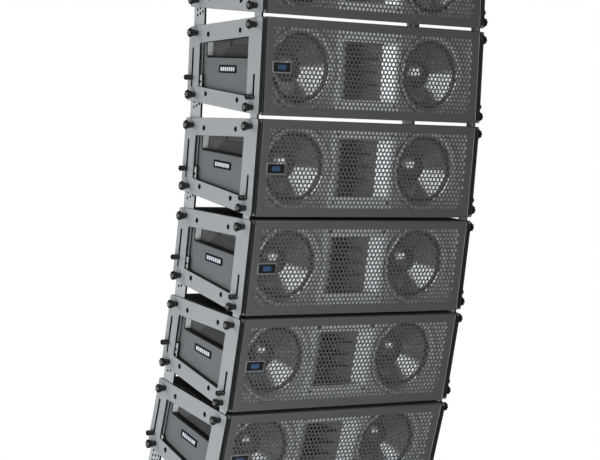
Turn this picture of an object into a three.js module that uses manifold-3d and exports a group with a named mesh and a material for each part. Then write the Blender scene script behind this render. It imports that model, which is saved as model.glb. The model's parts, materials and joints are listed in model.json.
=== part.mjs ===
// A hanging column of six identical two-way line array loudspeakers, joined by rigging frames.
// Millimetres, +Z up. The grilles face -Y, and the cabinets hang below the origin,
// which is the centre of the top cabinet's four upper rigging pins.
//
// A cabinet is modelled in its own frame: X across, Y from the grille's face to the rear,
// Z up from the middle of its height. Each cabinet hangs from the front pin of the one above
// and is turned about it by its splay angle, which the pair of rear links sets.

import * as THREE from "three";
import { mergeVertices } from "three/addons/utils/BufferGeometryUtils.js";
import Module from "manifold-3d";

const wasm = await Module();
wasm.setup();

// ---------------------------------------------------------------- driving dimensions

// Array, in degrees: the top cabinet's tilt and the splay between neighbours, top to bottom.
const TOP_TILT = 2.8;
const SPLAY = [1.9, 3.1, 3.1, 3.5, 4.3];
const MAX_SPLAY = 11;

// Clearances.
const FIT_GAP = 0.3; // between pieces that touch
const EDGE_GAP = 1; // between a link and the sides of the pocket it swings in
const OVERCUT = 1; // how far a cutting solid runs past the face it cuts

// Cabinet over its rigging frames.
const CABINET_WIDTH = 711;
const FRONT_HEIGHT = 244.3;
const FRAME_DEPTH = 334.6;
const TAPER = 4.66; // degrees, top and bottom faces lean in towards the rear

// Rigging frame: two plates with the links between them.
const PLATE = 4;
const LINK_THICKNESS = 6;
const FRONT_POST = 58;
const REAR_POST = 52.6;
const TOP_CHORD = 46;
const BOTTOM_CHORD = 41;
const PIN_RADIUS = 5;
const PIN_STEM_RADIUS = 6.5;
const PIN_STEM_LENGTH = 19;
const PIN_HEAD_RADIUS = 12;
const PIN_HEAD_LENGTH = 8;
const SLOT_WIDTH = 7.5;

// Front link and its pins.
const FRONT_PIN_Y = 27;
const FRONT_PIN_INSET = 19.35; // upper front pin below the frame's top edge
const FRONT_LOWER_PIN_INSET = 16.05; // lower front pin above the frame's bottom edge
const FRONT_LINK_WIDTH = 30;
const FRONT_LINK_DROP = 28.5; // hinge pin below the frame's front bottom corner
const FRONT_SLOT_RISE = 38; // slot's lower end above the frame's bottom edge
const FRONT_SLOT_LENGTH = 61.5;
const FRONT_KNOB_RISE = 4; // stowed link's knob above the slot's lower end

// Rear link and its pins.
const REAR_PIN_SETBACK = 37.6; // from the frame's rear edge
const REAR_PIN_INSET = 19.45;
const REAR_LOWER_PIN_INSET = 18.05;
const REAR_LINK_WIDTH = 49;
const REAR_LINK_LENGTH = 130; // lower pin to top end
const REAR_SLOT_SETBACK = 20.9;
const REAR_SLOT_RISE = 36.7;
const REAR_SLOT_LENGTH = 101.5;
const KNOB_DROP = 8; // knob below the rear link's top end
const KNOB_STEM_RADIUS = 3;
const KNOB_RADIUS = 7;
const KNOB_LENGTH = 22;

// Enclosure.
const ENCLOSURE_INSET = 0.95; // enclosure inside the frame's top and bottom edges
const ENCLOSURE_SETBACK = 0.6; // enclosure's rear face in front of the frame's rear edge
const WALL = 12;
const FRONT_WALL = 8; // walls in front of the baffle
const BAFFLE_THICKNESS = 20;
const FACE_PLANE = 28.5; // horn flange and driver rings behind the grille's face

// Handle pocket in each side wall.
const POCKET_FRONT = 45;
const POCKET_REAR_SETBACK = 66.6; // pocket's end in front of the frame's rear edge
const POCKET_FLOOR = 21;
const POCKET_TOP_INSET = 22; // pocket top below the enclosure's top face
const POCKET_DEPTH = 17;
const POCKET_WALL = 4;

// Grille: a pan whose rim slips over the enclosure's front edge.
const GRILLE_THICKNESS = 2;
const GRILLE_RIM = 14;

// Drivers. Depths count from the ring's face.
const WOOFER_RADIUS = 110;
const WOOFER_FLANGE = 6;
const WOOFER_OPENING_RADIUS = 98.5;
const WOOFER_GROOVE = { radius: 94, depth: 12.5 };
const WOOFER_LIP = { radius: 90.5, depth: 10 };
const CONE_EDGE = { radius: 78, depth: 15.5 };
const DUST_CAP = { radius: 31, depth: 50.5, rise: 9 };
const BASKET_RIM = { radius: 97, depth: 18 };
const MAGNET = { radius: 70, depth: 66, length: 34 };

// Horn. The vanes stand back from the mouth.
const HORN_FLANGE = 206;
const HORN_FLANGE_THICKNESS = 3;
const HORN_NOTCH_GAP = 1; // between the flange and the driver rings it is notched for
const HORN_WAIST = 196; // flange between the hollows for the two driver rings
const WOOFER_X = HORN_WAIST / 2 + HORN_NOTCH_GAP + WOOFER_RADIUS;
const HORN_MOUTH_WIDTH = 180;
const HORN_MOUTH_HEIGHT = 149;
const HORN_THROAT_WIDTH = 26;
const HORN_DEPTH = 72;
const HORN_WALL = 4;
const HORN_CELLS = 4;
const VANE_PITCH = 33.5; // between the middles of neighbouring vanes
const VANE_DEPTH = 30;
const DRIVER_RADIUS = 55;
const DRIVER_LENGTH = 60;

// Amplifier module in the rear wall.
const AMP_WIDTH = 440;
const AMP_HEIGHT = 124;
const AMP_DEPTH = 80;
const AMP_PLATE_MARGIN = 14;
const AMP_PLATE = 4;
const AMP_FINS = 11;
const AMP_FIN_LENGTH = 38;
const AMP_FIN_THICKNESS = 4;
const AMP_FIN_SHARE = 0.5; // share of the plate's width that carries fins

// Facets of round parts.
const FACETS = { pin: 6, hinge: 12, driver: 16, nose: 4 };

// ---------------------------------------------------------------- derived dimensions

const radians = THREE.MathUtils.degToRad;
const LEAN = Math.tan(radians(TAPER));
const FRAME_THICKNESS = 2 * PLATE + LINK_THICKNESS + 2 * FIT_GAP;
const FRAME_OUT = CABINET_WIDTH / 2;
const FRAME_IN = FRAME_OUT - FRAME_THICKNESS;
const CHANNEL_IN = FRAME_IN + PLATE;
const CHANNEL_OUT = FRAME_OUT - PLATE;
const ENCLOSURE_SIDE = FRAME_IN - FIT_GAP;
const ENCLOSURE_DEPTH = FRAME_DEPTH - ENCLOSURE_SETBACK;
const REAR_PIN_Y = FRAME_DEPTH - REAR_PIN_SETBACK;
const REAR_SLOT_Y = FRAME_DEPTH - REAR_SLOT_SETBACK;
const POCKET_REAR = FRAME_DEPTH - POCKET_REAR_SETBACK;

const frameEdge = (y) => FRONT_HEIGHT / 2 - y * LEAN;
const enclosureEdge = (y) => frameEdge(y) - ENCLOSURE_INSET;

const FRONT_PIN_Z = frameEdge(FRONT_PIN_Y) - FRONT_PIN_INSET;
const FRONT_LOWER_PIN_Z = FRONT_LOWER_PIN_INSET - frameEdge(FRONT_PIN_Y);
const REAR_PIN_Z = frameEdge(REAR_PIN_Y) - REAR_PIN_INSET;
const REAR_LOWER_PIN_Z = REAR_LOWER_PIN_INSET - frameEdge(REAR_PIN_Y);
const HINGE_Z = -frameEdge(0) - FRONT_LINK_DROP;
const FRONT_SLOT_BOTTOM = FRONT_SLOT_RISE - frameEdge(FRONT_PIN_Y);
const REAR_SLOT_BOTTOM = REAR_SLOT_RISE - frameEdge(REAR_SLOT_Y);

// How far the upper part of a link, above its pin, swings back at the largest splay.
const swing = (inset) => inset * Math.tan(radians(MAX_SPLAY)) + EDGE_GAP;

const BAFFLE_FRONT = FACE_PLANE + HORN_FLANGE_THICKNESS + FIT_GAP;
const BAFFLE_BACK = BAFFLE_FRONT + BAFFLE_THICKNESS;
const CAVITY_BACK = ENCLOSURE_DEPTH - WALL;

// Height of the rear link's lower pin in the cabinet that carries the link.
function rearLinkZ(splay) {
  const reach = REAR_PIN_Y - FRONT_PIN_Y;
  const fall = FRONT_PIN_Z - REAR_PIN_Z;
  return HINGE_Z + reach * Math.sin(radians(splay)) - fall * Math.cos(radians(splay));
}

// The lowest place of a link that hangs free: its knob rests on the slot's lower end.
const LINK_KNOB_RISE = REAR_LINK_LENGTH - KNOB_DROP;
const FREE_LINK_Z = REAR_SLOT_BOTTOM + SLOT_WIDTH / 2 - LINK_KNOB_RISE;

// ---------------------------------------------------------------- materials

const paint = (color, roughness, metalness) =>
  new THREE.MeshStandardMaterial({ color, roughness, metalness });

const MATERIALS = {
  enclosure: paint(0x55585a, 0.85, 0),
  grille: paint(0x3c3e40, 0.6, 0.2),
  frame: paint(0xa9aeb1, 0.45, 0.3),
  woofer: paint(0x1b1c1e, 0.35, 0),
  horn: paint(0x8a8d8f, 0.5, 0),
  amplifier: paint(0x1e1f21, 0.5, 0.4),
  link: paint(0xb4b8ba, 0.45, 0.3),
};

// ---------------------------------------------------------------- solids

// The closed solid of a geometry: only its positions count, with equal vertices merged.
function solid(geometry) {
  const bare = geometry.index ? geometry.toNonIndexed() : geometry.clone();
  bare.deleteAttribute("normal");
  bare.deleteAttribute("uv");
  const merged = mergeVertices(bare, 1e-4);
  return new wasm.Manifold(
    new wasm.Mesh({
      numProp: 3,
      vertProperties: merged.attributes.position.array,
      triVerts: new Uint32Array(merged.index.array),
    }),
  );
}

// The geometry of a solid, ready for a THREE.Mesh.
function geometryOf(shape) {
  const mesh = shape.getMesh();
  const geometry = new THREE.BufferGeometry();
  geometry.setAttribute("position", new THREE.BufferAttribute(mesh.vertProperties, 3));
  geometry.setIndex(new THREE.BufferAttribute(mesh.triVerts, 1));
  const flat = geometry.toNonIndexed();
  flat.computeVertexNormals();
  return flat;
}

const join = (first, ...others) => others.reduce((sum, next) => sum.add(next), first);
const cut = (body, ...tools) => tools.reduce((rest, tool) => rest.subtract(tool), body);

function box(x0, x1, y0, y1, z0, z1) {
  const geometry = new THREE.BoxGeometry(x1 - x0, y1 - y0, z1 - z0);
  return solid(geometry.translate((x0 + x1) / 2, (y0 + y1) / 2, (z0 + z1) / 2));
}

// A box whose front and back faces differ: each is { y, x, z } with half sizes x and z.
function taperedBox(front, back, centreZ = 0) {
  const geometry = new THREE.BoxGeometry(2, 2, 2);
  const corners = geometry.attributes.position;
  for (let i = 0; i < corners.count; i += 1) {
    const end = corners.getY(i) < 0 ? front : back;
    corners.setXYZ(i, corners.getX(i) * end.x, end.y, centreZ + corners.getZ(i) * end.z);
  }
  return solid(geometry);
}

// A prism along X over an outline drawn in the (Y, Z) plane.
function sidePrism(outline, x0, x1) {
  const geometry = new THREE.ExtrudeGeometry(outline, {
    depth: x1 - x0,
    bevelEnabled: false,
    curveSegments: FACETS.nose,
  });
  const turn = new THREE.Matrix4().makeBasis(
    new THREE.Vector3(0, 1, 0),
    new THREE.Vector3(0, 0, 1),
    new THREE.Vector3(1, 0, 0),
  );
  return solid(geometry.applyMatrix4(turn).translate(x0, 0, 0));
}

const outlineOf = (points) => new THREE.Shape(points.map(([y, z]) => new THREE.Vector2(y, z)));

// The side view of a wedge between two depths, whose faces keep an inset from an edge line.
function wedgeOutline(edge, inset, y0, y1) {
  return outlineOf([
    [y0, inset - edge(y0)],
    [y1, inset - edge(y1)],
    [y1, edge(y1) - inset],
    [y0, edge(y0) - inset],
  ]);
}

function cylinderX(radius, x0, x1, y, z, facets) {
  const geometry = new THREE.CylinderGeometry(radius, radius, x1 - x0, facets);
  geometry.rotateZ(Math.PI / 2);
  return solid(geometry.translate((x0 + x1) / 2, y, z));
}

function cylinderY(radius, y0, y1, x, facets) {
  const geometry = new THREE.CylinderGeometry(radius, radius, y1 - y0, facets);
  return solid(geometry.translate(x, (y0 + y1) / 2, 0));
}

// A flat link seen from the side: a straight strip with a round nose about its lower pin.
function linkOutline(width, y, pinZ, topZ) {
  const half = width / 2;
  const shape = new THREE.Shape();
  shape.moveTo(y - half, topZ);
  shape.lineTo(y - half, pinZ);
  shape.absarc(y, pinZ, half, Math.PI, 2 * Math.PI, false);
  shape.lineTo(y + half, topZ);
  return shape;
}

// ---------------------------------------------------------------- rigging frame

function framePlates() {
  const plates = sidePrism(wedgeOutline(frameEdge, 0, 0, FRAME_DEPTH), FRAME_IN, FRAME_OUT);
  const windowFront = FRONT_POST;
  const windowRear = FRAME_DEPTH - REAR_POST;
  const windowOutline = outlineOf([
    [windowFront, BOTTOM_CHORD - frameEdge(windowFront)],
    [windowRear, BOTTOM_CHORD - frameEdge(windowRear)],
    [windowRear, frameEdge(windowRear) - TOP_CHORD],
    [windowFront, frameEdge(windowFront) - TOP_CHORD],
  ]);
  return cut(plates, sidePrism(windowOutline, FRAME_IN - OVERCUT, FRAME_OUT + OVERCUT));
}

// The space between the plates that a link slides or swings in.
function channel(pinY, width, inset, z0) {
  const front = pinY - width / 2 - EDGE_GAP - FIT_GAP;
  const rear = pinY + width / 2 + swing(inset);
  return box(CHANNEL_IN, CHANNEL_OUT, front, rear, z0, FRONT_HEIGHT);
}

function slot(y, bottom, length) {
  const half = SLOT_WIDTH / 2;
  const inside = CHANNEL_OUT - FIT_GAP;
  return box(inside, FRAME_OUT + OVERCUT, y - half, y + half, bottom, bottom + length);
}

// A quick-release pin's stem and head outside the frame, turned about its own axis.
function pinHandle(y, z) {
  const root = CHANNEL_OUT + OVERCUT;
  const stemEnd = FRAME_OUT + PIN_STEM_LENGTH;
  const headEnd = stemEnd + PIN_HEAD_LENGTH;
  const profile = [
    [0, root],
    [PIN_STEM_RADIUS, root],
    [PIN_STEM_RADIUS, stemEnd],
    [PIN_HEAD_RADIUS, stemEnd],
    [PIN_HEAD_RADIUS, headEnd],
    [0, headEnd],
  ];
  const geometry = new THREE.LatheGeometry(
    profile.map(([radius, along]) => new THREE.Vector2(radius, along)),
    FACETS.pin,
  );
  return solid(geometry.rotateZ(-Math.PI / 2).translate(0, y, z));
}

// The front link hangs from the frame's lower corner and carries the next cabinet's pin.
function frontLink() {
  const inside = CHANNEL_IN + FIT_GAP;
  const outside = CHANNEL_OUT - FIT_GAP;
  const strip = linkOutline(FRONT_LINK_WIDTH, FRONT_PIN_Y, HINGE_Z, FRONT_LOWER_PIN_Z);
  const eye = cylinderX(
    PIN_RADIUS + FIT_GAP,
    inside - OVERCUT,
    outside + OVERCUT,
    FRONT_PIN_Y,
    HINGE_Z,
    FACETS.hinge,
  );
  return cut(sidePrism(strip, inside, outside), eye);
}

function frontKnob() {
  const z = FRONT_SLOT_BOTTOM + FRONT_KNOB_RISE;
  const end = FRAME_OUT + KNOB_LENGTH;
  return cylinderX(KNOB_RADIUS, CHANNEL_OUT - OVERCUT, end, FRONT_PIN_Y, z, FACETS.pin);
}

function rigFrame() {
  const pocketFloor = FRONT_PIN_Z - FRONT_LINK_WIDTH / 2 - EDGE_GAP;
  const hingePin = cylinderX(
    PIN_RADIUS,
    FRAME_IN + OVERCUT,
    FRAME_OUT + OVERCUT,
    FRONT_PIN_Y,
    FRONT_PIN_Z,
    FACETS.hinge,
  );
  const plates = cut(
    framePlates(),
    channel(REAR_PIN_Y, REAR_LINK_WIDTH, REAR_PIN_INSET, -FRONT_HEIGHT),
    channel(FRONT_PIN_Y, FRONT_LINK_WIDTH, FRONT_PIN_INSET, pocketFloor),
    slot(REAR_SLOT_Y, REAR_SLOT_BOTTOM, REAR_SLOT_LENGTH),
    slot(FRONT_PIN_Y, FRONT_SLOT_BOTTOM, FRONT_SLOT_LENGTH),
  );
  return join(
    plates,
    frontLink(),
    frontKnob(),
    hingePin,
    pinHandle(FRONT_PIN_Y, FRONT_PIN_Z),
    pinHandle(FRONT_PIN_Y, FRONT_LOWER_PIN_Z),
    pinHandle(REAR_PIN_Y, REAR_PIN_Z),
    pinHandle(REAR_PIN_Y, REAR_LOWER_PIN_Z),
  );
}

// The rear link in its own frame: its lower pin is at the height zero.
function rearLink() {
  const inside = CHANNEL_IN + FIT_GAP;
  const outside = CHANNEL_OUT - FIT_GAP;
  const strip = linkOutline(REAR_LINK_WIDTH, REAR_PIN_Y, 0, REAR_LINK_LENGTH);
  const eye = cylinderX(
    PIN_STEM_RADIUS,
    inside - OVERCUT,
    outside + OVERCUT,
    REAR_PIN_Y,
    0,
    FACETS.pin,
  );
  const knobBack = FRAME_OUT + FIT_GAP;
  const knobPart = (radius, x0, x1) =>
    cylinderX(radius, x0, x1, REAR_SLOT_Y, LINK_KNOB_RISE, FACETS.pin);
  return join(
    cut(sidePrism(strip, inside, outside), eye),
    knobPart(KNOB_STEM_RADIUS, outside - OVERCUT, knobBack + OVERCUT),
    knobPart(KNOB_RADIUS, knobBack, knobBack + KNOB_LENGTH),
  );
}

// ---------------------------------------------------------------- enclosure and grille

// A block of the wedge-shaped enclosure between two depths, inset from its outer faces.
function enclosureBlock(inset, y0, y1, side = ENCLOSURE_SIDE - inset) {
  return sidePrism(wedgeOutline(enclosureEdge, inset, y0, y1), -side, side);
}

function pocketBlock(margin, sign) {
  const floor = POCKET_FLOOR - margin;
  const y0 = POCKET_FRONT - margin;
  const y1 = POCKET_REAR + margin;
  const top = (y) => enclosureEdge(y) - POCKET_TOP_INSET + margin;
  const outline = outlineOf([
    [y0, floor],
    [y1, floor],
    [y1, top(y1)],
    [y0, top(y0)],
  ]);
  const deep = ENCLOSURE_SIDE - POCKET_DEPTH - margin;
  const out = ENCLOSURE_SIDE + OVERCUT;
  return sign < 0 ? sidePrism(outline, -out, -deep) : sidePrism(outline, deep, out);
}

function enclosure() {
  const lipInset = GRILLE_THICKNESS + FIT_GAP;
  const shell = join(
    enclosureBlock(0, GRILLE_RIM + FIT_GAP, ENCLOSURE_DEPTH),
    enclosureBlock(lipInset, lipInset, GRILLE_RIM + FIT_GAP + OVERCUT),
  );
  const pockets = [-1, 1].map((sign) => pocketBlock(0, sign));
  const pocketWalls = [-1, 1].map((sign) => pocketBlock(POCKET_WALL, sign));
  const cavity = cut(enclosureBlock(WALL, BAFFLE_BACK, CAVITY_BACK), ...pocketWalls);
  const recess = enclosureBlock(FRONT_WALL, -OVERCUT, BAFFLE_FRONT);
  const seat = FACE_PLANE + WOOFER_FLANGE + FIT_GAP;
  const bores = [-WOOFER_X, WOOFER_X].flatMap((x) => [
    cylinderY(WOOFER_RADIUS + FIT_GAP, BAFFLE_FRONT - OVERCUT, seat, x, FACETS.driver),
    cylinderY(BASKET_RIM.radius + FIT_GAP, seat - OVERCUT, BAFFLE_BACK + OVERCUT, x, FACETS.driver),
  ]);
  const hornHole = box(
    -HORN_MOUTH_WIDTH / 2 - HORN_WALL - FIT_GAP,
    HORN_MOUTH_WIDTH / 2 + HORN_WALL + FIT_GAP,
    BAFFLE_FRONT - OVERCUT,
    BAFFLE_BACK + OVERCUT,
    -HORN_MOUTH_HEIGHT / 2 - HORN_WALL - FIT_GAP,
    HORN_MOUTH_HEIGHT / 2 + HORN_WALL + FIT_GAP,
  );
  const ampHole = box(
    -AMP_WIDTH / 2 - FIT_GAP,
    AMP_WIDTH / 2 + FIT_GAP,
    CAVITY_BACK - OVERCUT,
    ENCLOSURE_DEPTH + OVERCUT,
    -AMP_HEIGHT / 2 - FIT_GAP,
    AMP_HEIGHT / 2 + FIT_GAP,
  );
  return cut(shell, cavity, recess, ...pockets, ...bores, hornHole, ampHole);
}

function grille() {
  const pan = enclosureBlock(0, 0, GRILLE_RIM);
  const hollow = enclosureBlock(GRILLE_THICKNESS, GRILLE_THICKNESS, GRILLE_RIM + OVERCUT);
  return cut(pan, hollow);
}

// ---------------------------------------------------------------- drivers, horn, amplifier

// A driver about its own axis, solid behind the cone.
function woofer() {
  const profile = [
    [0, DUST_CAP.depth - DUST_CAP.rise],
    [DUST_CAP.radius, DUST_CAP.depth],
    [CONE_EDGE.radius, CONE_EDGE.depth],
    [WOOFER_LIP.radius, WOOFER_LIP.depth],
    [WOOFER_GROOVE.radius, WOOFER_GROOVE.depth],
    [WOOFER_OPENING_RADIUS, 0],
    [WOOFER_RADIUS, 0],
    [WOOFER_RADIUS, WOOFER_FLANGE],
    [BASKET_RIM.radius, WOOFER_FLANGE],
    [BASKET_RIM.radius, BASKET_RIM.depth],
    [MAGNET.radius, MAGNET.depth],
    [MAGNET.radius, MAGNET.depth + MAGNET.length],
    [0, MAGNET.depth + MAGNET.length],
  ];
  const points = profile.map(([radius, depth]) => new THREE.Vector2(radius, FACE_PLANE + depth));
  return solid(new THREE.LatheGeometry(points, FACETS.driver));
}

function horn() {
  const front = FACE_PLANE;
  const back = front + HORN_FLANGE_THICKNESS;
  const throat = front + HORN_DEPTH;
  const halfFlange = HORN_FLANGE / 2;
  const halfHeight = HORN_MOUTH_HEIGHT / 2;
  // Half the inner width at a depth behind the flange's face.
  const narrowing = (HORN_MOUTH_WIDTH - HORN_THROAT_WIDTH) / 2 / HORN_DEPTH;
  const halfWidth = (depth) => HORN_MOUTH_WIDTH / 2 - depth * narrowing;
  const notches = [-WOOFER_X, WOOFER_X].map((x) =>
    cylinderY(WOOFER_RADIUS + HORN_NOTCH_GAP, front - OVERCUT, back + OVERCUT, x, FACETS.driver),
  );
  const flange = cut(box(-halfFlange, halfFlange, front, back, -halfFlange, halfFlange), ...notches);
  const bell = taperedBox(
    { y: back - OVERCUT, x: halfWidth(0) + HORN_WALL, z: halfHeight + HORN_WALL },
    { y: throat + HORN_WALL, x: halfWidth(HORN_DEPTH) + HORN_WALL, z: halfHeight + HORN_WALL },
  );
  const driverFront = throat + HORN_WALL - OVERCUT;
  const driverBack = driverFront + DRIVER_LENGTH;
  const driver = cylinderY(DRIVER_RADIUS, driverFront, driverBack, 0, FACETS.driver);
  const mouth = taperedBox(
    { y: front - OVERCUT, x: halfWidth(-OVERCUT), z: halfHeight },
    { y: front + VANE_DEPTH, x: halfWidth(VANE_DEPTH), z: halfHeight },
  );
  const vane = (i) => (i - HORN_CELLS / 2) * VANE_PITCH;
  const cells = [];
  for (let i = 0; i < HORN_CELLS; i += 1) {
    const low = i === 0 ? -halfHeight : vane(i) + HORN_WALL / 2;
    const high = i === HORN_CELLS - 1 ? halfHeight : vane(i + 1) - HORN_WALL / 2;
    const halfCell = (high - low) / 2;
    cells.push(
      taperedBox(
        { y: front + VANE_DEPTH - OVERCUT, x: halfWidth(VANE_DEPTH), z: halfCell },
        { y: throat, x: halfWidth(HORN_DEPTH), z: halfCell },
        (low + high) / 2,
      ),
    );
  }
  return cut(join(flange, bell, driver), mouth, ...cells);
}

function amplifier() {
  const plateFront = ENCLOSURE_DEPTH + FIT_GAP;
  const plateBack = plateFront + AMP_PLATE;
  const halfWidth = AMP_WIDTH / 2;
  const halfHeight = AMP_HEIGHT / 2;
  const trayFront = ENCLOSURE_DEPTH - AMP_DEPTH;
  const tray = box(-halfWidth, halfWidth, trayFront, plateBack, -halfHeight, halfHeight);
  const plate = box(
    -halfWidth - AMP_PLATE_MARGIN,
    halfWidth + AMP_PLATE_MARGIN,
    plateFront,
    plateBack,
    -halfHeight - AMP_PLATE_MARGIN,
    halfHeight + AMP_PLATE_MARGIN,
  );
  const finPitch = (AMP_WIDTH * AMP_FIN_SHARE) / AMP_FINS;
  const finFront = plateBack - OVERCUT;
  const finBack = plateBack + AMP_FIN_LENGTH;
  const fins = [];
  for (let i = 0; i < AMP_FINS; i += 1) {
    const x = -halfWidth + (i + 0.5) * finPitch;
    const half = AMP_FIN_THICKNESS / 2;
    fins.push(box(x - half, x + half, finFront, finBack, -halfHeight, halfHeight));
  }
  return join(tray, plate, ...fins);
}

// ---------------------------------------------------------------- array

const SHAPES = {
  enclosure: geometryOf(enclosure()),
  grille: geometryOf(grille()),
  frame: geometryOf(rigFrame()),
  woofer: geometryOf(woofer()),
  horn: geometryOf(horn()),
  amplifier: geometryOf(amplifier()),
  link: geometryOf(rearLink()),
};

function piece(kind, name) {
  const mesh = new THREE.Mesh(SHAPES[kind], MATERIALS[kind]);
  mesh.name = name;
  return mesh;
}

function cabinet(number, splayBelow) {
  const group = new THREE.Group();
  const label = `cabinet_${number}`;
  for (const kind of ["enclosure", "grille", "horn", "amplifier"]) {
    group.add(piece(kind, `${label}_${kind}`));
  }
  for (const [side, sign] of [["left", -1], ["right", 1]]) {
    const frame = piece("frame", `${label}_frame_${side}`);
    frame.scale.x = sign;
    const link = piece("link", `${label}_rear_link_${side}`);
    link.scale.x = sign;
    link.position.z = splayBelow === undefined ? FREE_LINK_Z : rearLinkZ(splayBelow);
    const driver = piece("woofer", `${label}_woofer_${side}`);
    driver.position.x = sign * WOOFER_X;
    group.add(frame, link, driver);
  }
  return group;
}

// Each cabinet is added to a group at its hinge pin, which the cabinet above carries.
function array() {
  const root = new THREE.Group();
  const top = new THREE.Group();
  top.rotation.x = radians(TOP_TILT);
  root.add(top);
  let carrier = top;
  let centreY = -(FRONT_PIN_Y + REAR_PIN_Y) / 2;
  let centreZ = -(FRONT_PIN_Z + REAR_PIN_Z) / 2;
  for (let i = 0; i <= SPLAY.length; i += 1) {
    const unit = cabinet(i + 1, SPLAY[i]);
    unit.position.set(0, centreY, centreZ);
    carrier.add(unit);
    const hinge = new THREE.Group();
    hinge.position.set(0, FRONT_PIN_Y, HINGE_Z);
    hinge.rotation.x = radians(SPLAY[i] ?? 0);
    unit.add(hinge);
    carrier = hinge;
    centreY = -FRONT_PIN_Y;
    centreZ = -FRONT_PIN_Z;
  }
  return root;
}

export default array();
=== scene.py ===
"""The looks of a hanging column of six line array loudspeakers.

Everything is in metres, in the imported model's own frame. A cabinet's pieces are made once, in the
cabinet's frame (X across, Y from the grille's face to the rear, Z up from mid height), and each
cabinet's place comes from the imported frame.
"""

import json
import math

import bmesh
import bpy
from mathutils import Matrix, Vector
from mathutils.geometry import tessellate_polygon

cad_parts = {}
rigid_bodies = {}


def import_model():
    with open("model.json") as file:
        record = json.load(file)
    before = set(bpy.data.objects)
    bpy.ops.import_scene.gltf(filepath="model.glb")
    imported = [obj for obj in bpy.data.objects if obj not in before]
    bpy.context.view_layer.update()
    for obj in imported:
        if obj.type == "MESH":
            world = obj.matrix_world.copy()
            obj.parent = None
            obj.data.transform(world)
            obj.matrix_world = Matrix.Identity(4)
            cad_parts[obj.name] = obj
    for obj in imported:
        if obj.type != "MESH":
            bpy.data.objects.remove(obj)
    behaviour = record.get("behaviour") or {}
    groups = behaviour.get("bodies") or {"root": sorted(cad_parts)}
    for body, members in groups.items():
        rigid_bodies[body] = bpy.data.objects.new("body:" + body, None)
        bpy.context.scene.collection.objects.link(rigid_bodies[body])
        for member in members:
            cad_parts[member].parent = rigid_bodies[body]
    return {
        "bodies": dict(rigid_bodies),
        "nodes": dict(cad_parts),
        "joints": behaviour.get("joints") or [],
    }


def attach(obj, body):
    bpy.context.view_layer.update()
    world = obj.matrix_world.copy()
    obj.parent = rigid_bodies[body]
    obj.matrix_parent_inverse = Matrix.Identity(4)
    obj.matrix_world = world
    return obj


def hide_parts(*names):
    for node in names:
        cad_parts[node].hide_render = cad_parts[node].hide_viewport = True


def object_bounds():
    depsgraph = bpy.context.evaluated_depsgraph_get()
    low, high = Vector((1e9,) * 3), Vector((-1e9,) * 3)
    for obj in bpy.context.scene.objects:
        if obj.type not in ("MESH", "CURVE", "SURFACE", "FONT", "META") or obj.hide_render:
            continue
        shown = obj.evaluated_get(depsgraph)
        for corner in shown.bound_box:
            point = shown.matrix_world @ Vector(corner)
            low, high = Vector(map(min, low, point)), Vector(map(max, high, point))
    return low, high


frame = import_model()
cad_low, cad_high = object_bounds()
MM = 0.001

# ---------------------------------------------------------------- sizes

# Rigging frame, as in the CAD model. Y values are depths behind the grille's face.
PLATE = 4 * MM
CORE = 6.6 * MM
CORE_GAP = 0.02 * MM
FRAME_BEVEL = 0.5 * MM
FRAME_CORNER = 7 * MM
WINDOW_CORNER = 4 * MM
CORE_FRONT = 46.6 * MM
CORE_REAR = 270.4 * MM
CORE_STRIP = 11 * MM
REAR_STRIP = 7 * MM
CORE_END = 8 * MM
FRONT_POST = 58 * MM
POST_END = 4 * MM
POST_BELOW_PIN = 20 * MM
POST_BEHIND_WINDOW = 2 * MM
REAR_POST = 52.6 * MM
TOP_CHORD = 46 * MM
BOTTOM_CHORD = 41 * MM
FRONT_PIN_Y = 27 * MM
REAR_PIN_Y = 297 * MM
PIN_INSETS = {"upper_front": 19.35 * MM, "lower_front": 16.05 * MM}
PIN_INSETS |= {"upper_rear": 19.45 * MM, "lower_rear": 18.05 * MM}
FRONT_LINK_WIDTH = 30 * MM
REAR_LINK_WIDTH = 49 * MM
LINK_THICKNESS = 6 * MM
LINK_GAP = 0.3 * MM
EYE_RADIUS = 5.3 * MM
HINGE_DROP = 28.5 * MM
SLOT_WIDTH = 7.5 * MM
REAR_SLOT_Y = 313.7 * MM
REAR_SLOT = (-59.9 * MM, 41.6 * MM)
FRONT_SLOT = (-82 * MM, -20.5 * MM)
FRONT_KNOB_Z = -78 * MM
KNOB_RISE = 122 * MM
# Stow holes: depth and distance from the frame's edge in millimetres, and 1 at the top or -1 below.
STOW_HOLES = ((98, 27.5, 1), (245, 26.5, 1), (98.5, 26.5, -1), (245.5, 26, -1))
STOW_RADIUS = 6.5 * MM
# Small holes in a rear link: how far behind its pin a column stands, and its lowest hole's height
# above the pin, in millimetres.
LINK_HOLE_COLUMNS = ((8.5, 46.3), (-4.5, 50.5), (-17, 55.2))
LINK_HOLE_ROWS = 5
LINK_HOLE_PITCH = 14.2
LINK_HOLE_RADIUS = 3.6 * MM

# Enclosure and amplifier.
WALL = 8 * MM
FIT_GAP = 0.2 * MM
SHELL_FRONT = 14.6 * MM
AMP_MARGIN = 14 * MM
AMP_PLATE = 4 * MM
FINS = 11
FIN_THICKNESS = 4 * MM
FACE_PLANE = 28.5 * MM
BAFFLE_FRONT = 31.8 * MM
POCKET_FRONT = 45 * MM
POCKET_REAR = 268 * MM
POCKET_FLOOR = 21 * MM
POCKET_TOP_INSET = 22 * MM
POCKET_DEPTH = 17 * MM
POCKET_WALL = 4 * MM

# Grille.
HOLE_PITCH = 12.2 * MM
HOLE_ACROSS = 8.6 * MM
HOLE_COLUMNS = 52
HOLE_ROWS = 19
GRILLE_SHEET = 1.5 * MM
GRILLE_EDGE = 4 * MM
GRILLE_RIM = 14 * MM

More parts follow.
